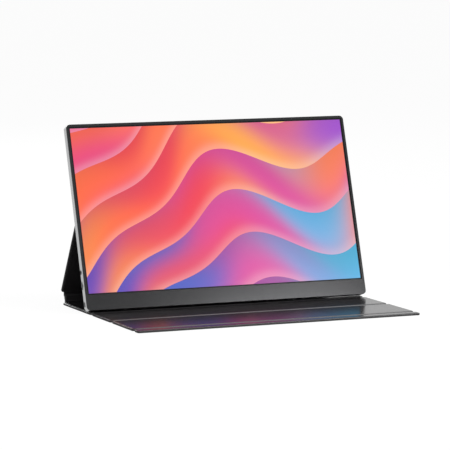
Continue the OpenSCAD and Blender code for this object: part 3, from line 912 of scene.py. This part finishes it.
def crease_mesh(name, outer, inner, half_width):
    """Closed strip with this cross-section, thinned at its two ends."""
    shape = bmesh.new()
    soft_end, thinning = 0.25 * MM, 0.35
    loops = []
    for x, share in (
        (-half_width, thinning),
        (-half_width + soft_end, 1.0),
        (half_width - soft_end, 1.0),
        (half_width, thinning),
    ):
        ring = []
        for top, low in zip(outer, inner):
            middle = (top + low) / 2
            ring.append((middle + (top - middle) * share, middle + (low - middle) * share))
        section = [pair[0] for pair in ring] + [pair[1] for pair in reversed(ring)]
        loops.append([shape.verts.new(X_AXIS * x + point) for point in section])
    count = len(loops[0])
    for loop, following in zip(loops, loops[1:]):
        for i in range(count):
            j = (i + 1) % count
            shape.faces.new((loop[i], loop[j], following[j], following[i]))
    half = len(outer)
    for loop in (loops[0], loops[-1]):
        for i in range(half - 1):
            shape.faces.new((loop[i], loop[i + 1], loop[count - 2 - i], loop[count - 1 - i]))
    bmesh.ops.recalc_face_normals(shape, faces=shape.faces)
    mesh = bpy.data.meshes.new(name)
    shape.to_mesh(mesh)
    shape.free()
    smooth(mesh)
    return mesh


class MONITOR_OT_finishes(bpy.types.Operator):
    """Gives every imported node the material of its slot"""

    bl_idname = "monitor.finishes"
    bl_label = "Finishes"

    def execute(self, context):
        materials = slot_finishes(context.scene)
        context.scene["slot_materials"] = {slot: made.name for slot, made in materials.items()}
        for part in frame["record"]["subparts"]:
            piece = frame["nodes"][part["node"]]
            piece.data.materials.clear()
            piece.data.materials.append(materials[part["material_slot"]])
        return {"FINISHED"}


class MONITOR_OT_cover_panels(bpy.types.Operator):
    """Wraps each stiff panel of the cover in leather and lays its lining"""

    bl_idname = "monitor.cover_panels"
    bl_label = "Cover panels"

    def execute(self, context):
        sizes = context.scene.cover_sizes
        tree = board_tree()
        for name, (body, first, last) in PANELS.items():
            start, along, lining_side, length = panel_frame_of(name)
            low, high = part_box(name + "_leather")
            thickness = panel_thickness()
            width = high.x - low.x
            y0 = sizes.crease_half if first else 0.0
            y1 = length - (sizes.crease_half if last else 0.0)
            skin = grown(
                name + "_skin",
                tree,
                {
                    "Width": width,
                    "Length": y1 - y0,
                    "Thickness": thickness,
                    "Corner": sizes.corner,
                    "Edge roll": sizes.edge_roll,
                    "Material": finish_of("cover_leather"),
                },
            )
            skin.data.transform(panel_matrix(start, along, lining_side, (y0 + y1) / 2, 0))
            outward(skin.data)
            level_shading(skin)
            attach(skin, body)
            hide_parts(name + "_leather")

            lap = sizes.crease_lap + EDGE_GAP
            z0 = y0 + (lap if first else sizes.lining_inset)
            z1 = y1 - (lap if last else sizes.lining_inset)
            depth = thickness / 2 + sizes.lining_rise - sizes.lining_thickness / 2
            lining = grown(
                name + "_lining_sheet",
                tree,
                {
                    "Width": width - 2 * sizes.lining_inset,
                    "Length": z1 - z0,
                    "Thickness": sizes.lining_thickness,
                    "Corner": SHEET_CORNER,
                    "Edge roll": SHEET_ROLL,
                    "Material": finish_of("cover_lining"),
                },
            )
            lining.data.transform(panel_matrix(start, along, lining_side, (z0 + z1) / 2, depth))
            outward(lining.data)
            level_shading(lining)
            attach(lining, body)
            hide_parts(name + "_lining")
        return {"FINISHED"}


def panel_thickness():
    """Thickness of a cover panel, from one that lies flat on the desk."""
    low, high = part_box("middle_panel_leather")
    return high.z - low.z


class MONITOR_OT_creases(bpy.types.Operator):
    """Lays the leather and the lining through each crease"""

    bl_idname = "monitor.creases"
    bl_label = "Creases"

    def execute(self, context):
        sizes = context.scene.cover_sizes
        low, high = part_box("middle_panel_leather")
        half_width = (high.x - low.x) / 2 - sizes.crease_inset
        thickness = panel_thickness()
        lining_inset = 0.6 * MM
        layers = (
            ("leather", -1, sizes.leather_thickness, "cover_leather", 0.0),
            ("lining", 1, sizes.lining_thickness, "cover_lining", lining_inset),
        )
        # Paler lining for the lip and front creases: a painted highlight of the crease walls
        highlit_lining = leather_finish(
            "lining with painted crease highlight", tuple(sizes.crease_highlight_color), 0.0006, 0.55, 0.00001, 0.3
        )
        for name, (before, after) in CREASES.items():
            pivot = crease_point(name)
            _, along_a, _, _ = panel_frame_of(before)
            _, along_b, _, _ = panel_frame_of(after)
            for label, side, layer_t, slot, inset in layers:
                outer, inner = crease_path(name, side, layer_t, sizes, thickness)
                title = f"{name}_{label}"
                mesh = crease_mesh(title, outer, inner, half_width - inset)
                # Painted highlight: the lining of those creases takes the paler finish
                highlit = label == "lining" and name in HIGHLIT_CREASES
                mesh.materials.append(highlit_lining if highlit else finish_of(slot))
                strip = make_object(title, mesh)
                pivot - along_a * sizes.crease_half
                pivot + along_b * sizes.crease_half
                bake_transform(strip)
        return {"FINISHED"}


class MONITOR_OT_picture(bpy.types.Operator):
    """Lights the screen with a plain picture of folded ribbons"""

    bl_idname = "monitor.picture"
    bl_label = "Picture"

    def execute(self, context):
        sizes = context.scene.monitor_sizes
        front = span("lcd_glass", SCREEN_BACK)[0] - sizes.picture_thickness / 2
        top = span("lcd_glass", SCREEN_UP)[1] - sizes.glass_overlap
        width, height = sizes.picture_width, sizes.picture_height
        thickness = sizes.picture_thickness
        shape = bmesh.new()
        layer = shape.loops.layers.uv.new("Picture")
        bmesh.ops.create_cube(shape, size=1.0)
        for face in shape.faces:
            for loop in face.loops:
                loop[layer].uv = (loop.vert.co.x + 0.5, loop.vert.co.z + 0.5)
        mesh = bpy.data.meshes.new("lit_picture")
        shape.to_mesh(mesh)
        shape.free()
        stretched = (X_AXIS * width, SCREEN_BACK * thickness, SCREEN_UP * height)
        turn = Matrix(stretched).transposed().to_4x4()
        turn.translation = SCREEN_BACK * front + SCREEN_UP * (top - height / 2)
        mesh.transform(turn)
        mesh.materials.append(picture_finish("lit picture", width / height))
        picture = make_object("lit_picture", mesh)
        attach(picture, "monitor")
        return {"FINISHED"}


def contact_tree():
    """Row of small round-ended contacts, side by side."""
    plan = NodePlan(
        "Contact row",
        (
            ("Count", "Int"),
            ("Pitch", "Float"),
            ("Size", "Vector"),
            ("Material", "Material"),
        ),
    )
    step = plan.node("ShaderNodeCombineXYZ", None, {"Y": plan.given("Pitch")})
    line = plan.node(
        "GeometryNodeMeshLine", {"mode": "OFFSET"}, {"Count": plan.given("Count"), "Offset": step}
    )
    blade = plan.node("GeometryNodeMeshCube", None, {"Size": plan.given("Size")})
    row = plan.node("GeometryNodeInstanceOnPoints", None, {"Points": line, "Instance": blade})
    return plan.end(row)


class MONITOR_OT_contacts(bpy.types.Operator):
    """Sets the gilt contacts on the tongues of the sockets"""

    bl_idname = "monitor.contacts"
    bl_label = "Socket contacts"

    def execute(self, context):
        sizes = context.scene.monitor_sizes
        gilt = metal_finish("gilt contact", (0.85, 0.58, 0.22), 0.2)
        tree = contact_tree()
        # Socket, contacts on a side, their pitch, half of the tongue and depth behind the mouth
        rows = (
            ("usb_c_power", 12, 0.5 * MM, 0.35 * MM, 1.6 * MM),
            ("usb_c_video", 12, 0.5 * MM, 0.35 * MM, 1.6 * MM),
            ("mini_hdmi_port", 10, 0.75 * MM, 0.30 * MM, 1.4 * MM),
        )
        for node, count, pitch, tongue_half, set_back in rows:
            mouth = span(node, X_AXIS)[1]
            up_low, up_high = span(node, SCREEN_UP)
            back_low, back_high = span(node, SCREEN_BACK)
            length = 3.6 * MM
            blade_t = 0.08 * MM
            for label, side in (("front", -1), ("rear", 1)):
                title = f"{node}_{label}_contacts"
                row = grown(
                    title,
                    tree,
                    {
                        "Count": count,
                        "Pitch": pitch,
                        "Size": (length, sizes.contact_width, blade_t),
                        "Material": gilt,
                    },
                )
                off_tongue = side * (tongue_half + blade_t / 4)
                turn = Matrix((X_AXIS, SCREEN_UP, -SCREEN_BACK)).transposed().to_4x4()
                turn.translation = (
                    X_AXIS * (mouth - set_back - length / 2)
                    + SCREEN_UP * ((up_low + up_high) / 2 - pitch * (count - 1) / 2)
                    + SCREEN_BACK * ((back_low + back_high) / 2 + off_tongue)
                )
                row.data.transform(turn)
                outward(row.data)
                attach(row, "monitor")
        return {"FINISHED"}


class MONITOR_OT_studio(bpy.types.Operator):
    """Sets the camera, the lamps, the pale floor and the white room"""

    bl_idname = "monitor.studio"
    bl_label = "Studio"

    def execute(self, context):
        scene, studio = context.scene, context.scene.studio
        scene.view_settings.view_transform = "Standard"
        self.add_camera(scene, studio)
        self.add_room(scene, studio)
        self.add_floor(studio)
        centre, chin = (0, -0.02, 0.1), (0.07, -0.01, 0.012)
        for name, place, target, size, power in (
            ("key lamp", (-1.1, -1.9, 1.9), centre, (1.8, 1.4), studio.key_power),
            ("side lamp", (1.7, -0.7, 0.9), centre, (0.8, 1.2), studio.side_power),
            ("rim lamp", (-0.3, 2.2, 1.0), centre, (1.2, 0.5), studio.rim_power),
            ("edge lamp", (0.66, -0.88, 1.90), centre, (1.2, 0.5), studio.edge_power),
            ("chin lamp", (0.455, -0.85, 0.30), chin, (0.25, 0.2), studio.chin_power),
        ):
            self.add_lamp(name, Vector(place), Vector(target), size, power)
        return {"FINISHED"}

    def add_camera(self, scene, studio):
        data = bpy.data.cameras.new("camera")
        data.lens = studio.lens
        data.sensor_width = 36.0
        data.clip_start, data.clip_end = 0.05, 200.0
        camera = bpy.data.objects.new("camera", data)
        camera.location = studio.camera_place
        camera.rotation_euler = (math.pi / 2 - studio.pitch, 0, -studio.yaw)
        scene.collection.objects.link(camera)
        scene.camera = camera

    def add_lamp(self, name, place, target, size, power):
        data = bpy.data.lights.new(name, "AREA")
        data.shape = "RECTANGLE"
        data.size, data.size_y = size
        data.energy = power
        lamp = bpy.data.objects.new(name, data)
        lamp.location = place
        lamp.visible_camera = False
        lamp.rotation_mode = "QUATERNION"
        lamp.rotation_quaternion = (target - place).to_track_quat("-Z", "Y")
        bpy.context.scene.collection.objects.link(lamp)

    def add_room(self, scene, studio):
        world = bpy.data.worlds.new("white room")
        world.use_nodes = True
        tree = world.node_tree
        tree.nodes.clear()
        seen = seen_ray(tree)
        plain = tree.nodes.new("ShaderNodeBackground")
        lit = tree.nodes.new("ShaderNodeBackground")
        lit.inputs["Color"].default_value = (1.0, 1.0, 1.0, 1.0)
        lit.inputs["Strength"].default_value = studio.room_light
        plain.inputs["Color"].default_value = (1.0, 1.0, 1.0, 1.0)
        plain.inputs["Strength"].default_value = 1.0
        mix = tree.nodes.new("ShaderNodeMixShader")
        end = tree.nodes.new("ShaderNodeOutputWorld")
        tree.links.new(seen, mix.inputs[0])
        tree.links.new(lit.outputs[0], mix.inputs[1])
        tree.links.new(plain.outputs[0], mix.inputs[2])
        tree.links.new(mix.outputs[0], end.inputs["Surface"])
        scene.world = world

    def add_floor(self, studio):
        half = studio.floor_size / 2
        drop = -0.0001
        mesh = bpy.data.meshes.new("floor")
        mesh.from_pydata(
            [(-half, -half, drop), (half, -half, drop), (half, half, drop), (-half, half, drop)],
            [],
            [(0, 1, 2, 3)],
        )
        floor = make_object("floor", mesh)
        material = bpy.data.materials.new("pale floor")
        material.use_nodes = True
        tree = material.node_tree
        tree.nodes.clear()
        matt = tree.nodes.new("ShaderNodeBsdfDiffuse")
        matt.inputs["Color"].default_value = (0.85, 0.85, 0.85, 1.0)
        glow = tree.nodes.new("ShaderNodeEmission")
        share = tree.nodes.new("ShaderNodeMath")
        share.operation = "MULTIPLY"
        share.inputs[1].default_value = studio.floor_glow
        mix = tree.nodes.new("ShaderNodeMixShader")
        end = tree.nodes.new("ShaderNodeOutputMaterial")
        tree.links.new(seen_ray(tree), share.inputs[0])
        tree.links.new(share.outputs[0], mix.inputs[0])
        tree.links.new(matt.outputs[0], mix.inputs[1])
        tree.links.new(glow.outputs[0], mix.inputs[2])
        tree.links.new(mix.outputs[0], end.inputs["Surface"])
        mesh.materials.append(material)


def seen_ray(tree):
    """1 for what the camera, a reflection or clear glass sees, 0 for light on things."""
    path = tree.nodes.new("ShaderNodeLightPath")
    value = path.outputs["Is Camera Ray"]
    for name in ("Is Glossy Ray", "Is Transmission Ray"):
        larger = tree.nodes.new("ShaderNodeMath")
        larger.operation = "MAXIMUM"
        tree.links.new(value, larger.inputs[0])
        tree.links.new(path.outputs[name], larger.inputs[1])
        value = larger.outputs[0]
    return value


class MONITOR_PT_sidebar(bpy.types.Panel):
    """Lists the steps that build the monitor"""

    bl_idname = "MONITOR_PT_sidebar"
    bl_label = "Portable Monitor"
    bl_space_type = "VIEW_3D"
    bl_region_type = "UI"
    bl_category = "Monitor"

    def draw(self, context):
        for step in STEPS:
            self.layout.operator(step.bl_idname)


STEPS = (
    MONITOR_OT_finishes,
    MONITOR_OT_studio,
    MONITOR_OT_cover_panels,
    MONITOR_OT_creases,
    MONITOR_OT_picture,
    MONITOR_OT_contacts,
)
CLASSES = (CoverSizes, MonitorSizes, StudioSettings, *STEPS, MONITOR_PT_sidebar)


def register():
    for one in CLASSES:
        bpy.utils.register_class(one)
    bpy.types.Scene.cover_sizes = PointerProperty(type=CoverSizes)
    bpy.types.Scene.monitor_sizes = PointerProperty(type=MonitorSizes)
    bpy.types.Scene.studio = PointerProperty(type=StudioSettings)


def unregister():
    del bpy.types.Scene.studio
    del bpy.types.Scene.monitor_sizes
    del bpy.types.Scene.cover_sizes
    for one in reversed(CLASSES):
        bpy.utils.unregister_class(one)


def main():
    register()
    for step in STEPS:
        family, name = step.bl_idname.split(".")
        getattr(getattr(bpy.ops, family), name)()


if __name__ == "__main__":
    main()
